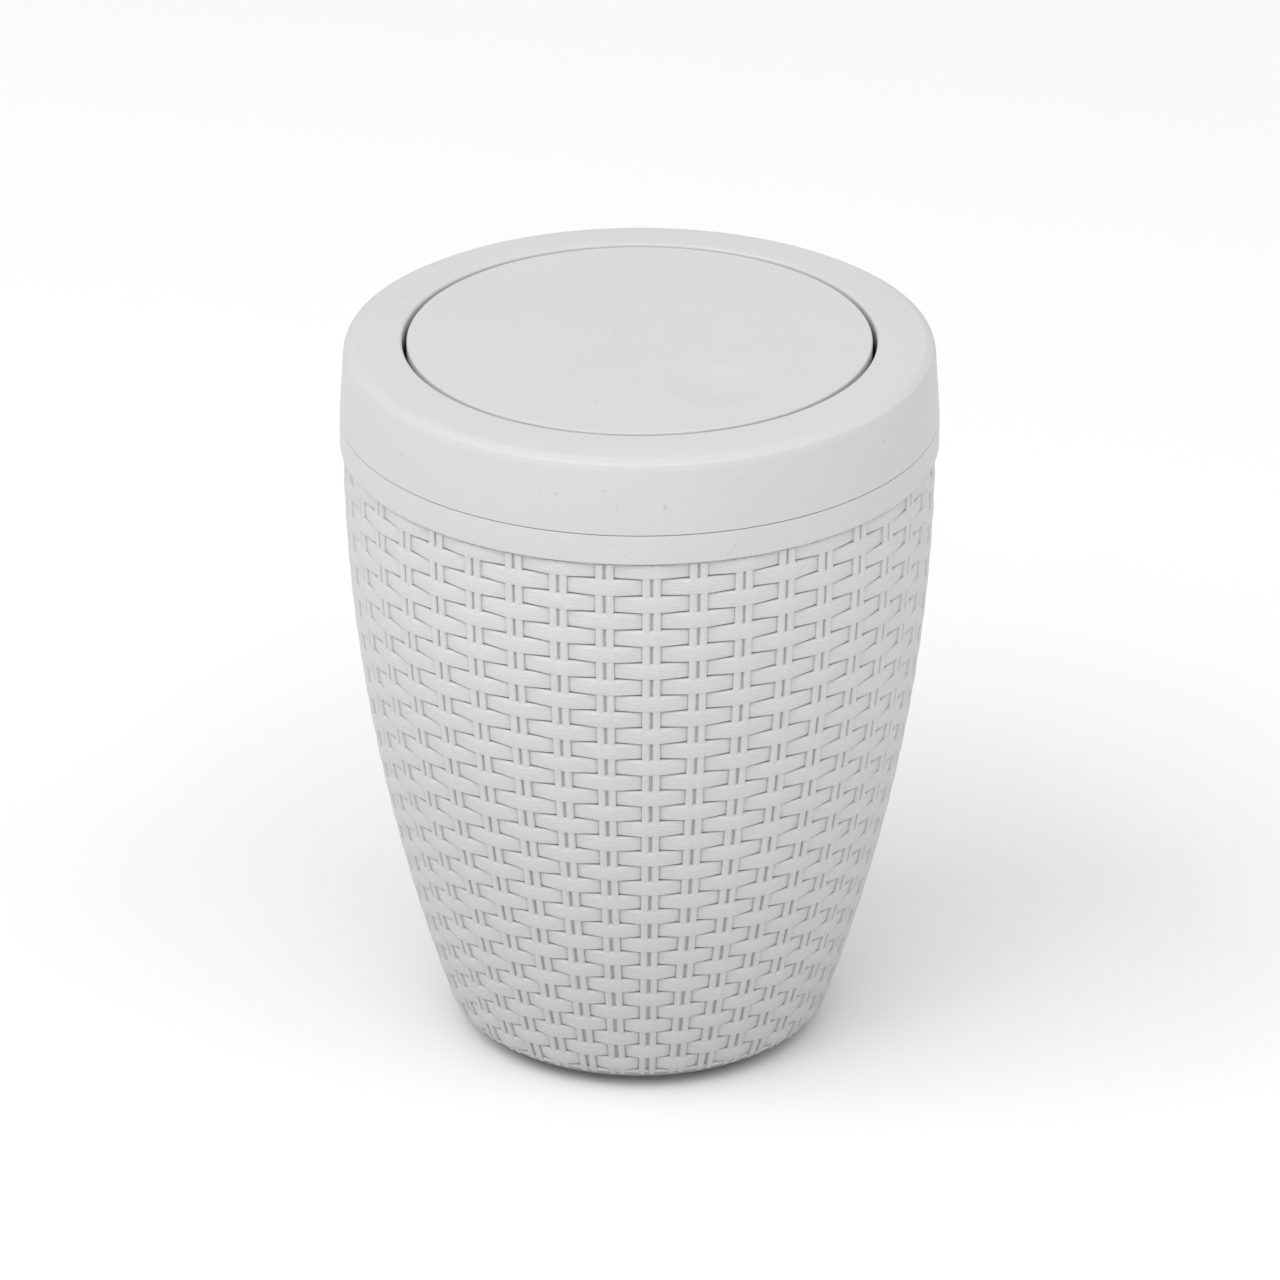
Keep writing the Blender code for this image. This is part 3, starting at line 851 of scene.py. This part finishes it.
def make_bar_loops():
    """The two loops that the bar is pushed through."""
    bar_middle = (bar_low + bar_high) / 2
    bar_size = bar_high - bar_low
    slot = (3 * LOOP_LENGTH, bar_size.y + 2 * FIT_GAP, bar_size.z + 2 * FIT_GAP)
    top = FLAP_TOP - FLAP_PLATE * 0.75
    foot = bar_low.z - FIT_GAP - LOOP_WALL
    size = (LOOP_LENGTH, slot[1] + 2 * LOOP_WALL, top - foot)
    for side, sign in SIDES.items():
        x = sign * LOOP_POSITION
        mesh = rounded_block_mesh("bar_loop_" + side, Vector((x, 0, (top + foot) / 2)), size, 0.0008)
        window = rounded_block_mesh("window", Vector((x, 0, bar_middle.z)), slot, 0.0003)
        mesh = change_mesh(mesh, window, "DIFFERENCE")
        make_piece(mesh, "flap", lid_plastic)


def plate_bar():
    """Gives the counterweight's own frame solid its plated steel."""
    bar = frame["nodes"]["counterweight"]
    bar.data.materials.clear()
    bar.data.materials.append(bar_steel)


def make_pins():
    """Headed pins with a domed head and a chamfered tip."""
    start = pin_low.x
    head = pin_high.x - PIN_HEAD_LENGTH
    tip = 0.0005
    chamfer = 0.0002
    dome = 0.0007
    outline = [(0, start), (PIN_RADIUS - tip, start), (PIN_RADIUS, start + tip), (PIN_RADIUS, head)]
    outline += [(PIN_HEAD_RADIUS - chamfer, head), (PIN_HEAD_RADIUS, head + chamfer)]
    outline += arc((PIN_HEAD_RADIUS - dome, pin_high.x - dome), dome, 0, 90, 5)
    outline += [(0, pin_high.x)]
    for side, sign in SIDES.items():
        mesh = lay_along_x(turned_mesh("pin_" + side, outline, 48), sign)
        make_piece(mesh, "flap", pin_plastic, replaced=["hinge_pin_" + side])


# ---------------------------------------------------------------- camera, light and floor

VIEW_AZIMUTH = math.radians(-32.7)
CAMERA_DISTANCE = 3.0
CAMERA_HEIGHT = 1.5872
CAMERA_PITCH = math.radians(25.56)
CAMERA_LENS = 251.86
CAMERA_SHIFT = (0.0003, 0.0008)
SENSOR_WIDTH = 36

# Softboxes: azimuth from the camera in degrees, size and power
SOFTBOXES = {
    "left": (-60, (4.0, 3.2), 104),
    "front": (-5, (3.6, 2.8), 68),
    "right": (55, (4.0, 3.2), 44),
}
SOFTBOX_DISTANCE = 3.3
SOFTBOX_HEIGHT = 4.3
AIM_HEIGHT = 0.15
WORLD_STRENGTH = 0.68
FLOOR_RADIUS = 20


def around(azimuth, distance, height):
    """A place at an azimuth in degrees to the right of the camera's side of the object."""
    angle = VIEW_AZIMUTH + math.radians(azimuth)
    return Vector((math.sin(angle) * distance, -math.cos(angle) * distance, height))


def make_camera():
    """A long lens that looks down on the object from in front and to the left."""
    data = bpy.data.cameras.new("camera")
    data.lens = CAMERA_LENS
    data.sensor_width = SENSOR_WIDTH
    data.shift_x, data.shift_y = CAMERA_SHIFT
    camera = new_object("camera", data)
    camera.location = around(0, CAMERA_DISTANCE, CAMERA_HEIGHT)
    camera.rotation_euler = (math.pi / 2 - CAMERA_PITCH, 0, VIEW_AZIMUTH)
    bpy.context.scene.camera = camera


def make_softbox(name, azimuth, size, power):
    """A large soft lamp above the object, aimed at its middle."""
    data = bpy.data.lights.new(name, "AREA")
    data.shape = "RECTANGLE"
    data.size, data.size_y = size
    data.energy = power
    light = new_object(name, data)
    light.location = around(azimuth, SOFTBOX_DISTANCE, SOFTBOX_HEIGHT)
    to_target = Vector((0, 0, AIM_HEIGHT)) - light.location
    light.rotation_euler = to_target.to_track_quat("-Z", "Y").to_euler()


def make_world():
    """Even white light from all round."""
    world = bpy.data.worlds.new("studio")
    world.use_nodes = True
    background = world.node_tree.nodes["Background"]
    background.inputs["Color"].default_value = (1, 1, 1, 1)
    background.inputs["Strength"].default_value = WORLD_STRENGTH
    bpy.context.scene.world = world


def make_floor():
    """A very wide round sheet of paper that the object stands on."""
    shape = bmesh.new()
    bmesh.ops.create_circle(shape, cap_ends=True, radius=FLOOR_RADIUS, segments=96)
    mesh = finished_mesh("studio_floor", shape)
    mesh.materials.append(floor_paper("floor_paper"))
    floor = new_object("studio_floor", mesh)


make_tub_body()
make_weave()
make_lid_ring()
make_flap_plate()
make_flap_ribs()
make_flap_bosses()
make_bar_loops()
make_pins()
plate_bar()
make_camera()
make_world()
for name, (azimuth, size, power) in SOFTBOXES.items():
    make_softbox(name, azimuth, size, power)
make_floor()
bpy.context.scene.view_settings.view_transform = "Standard"
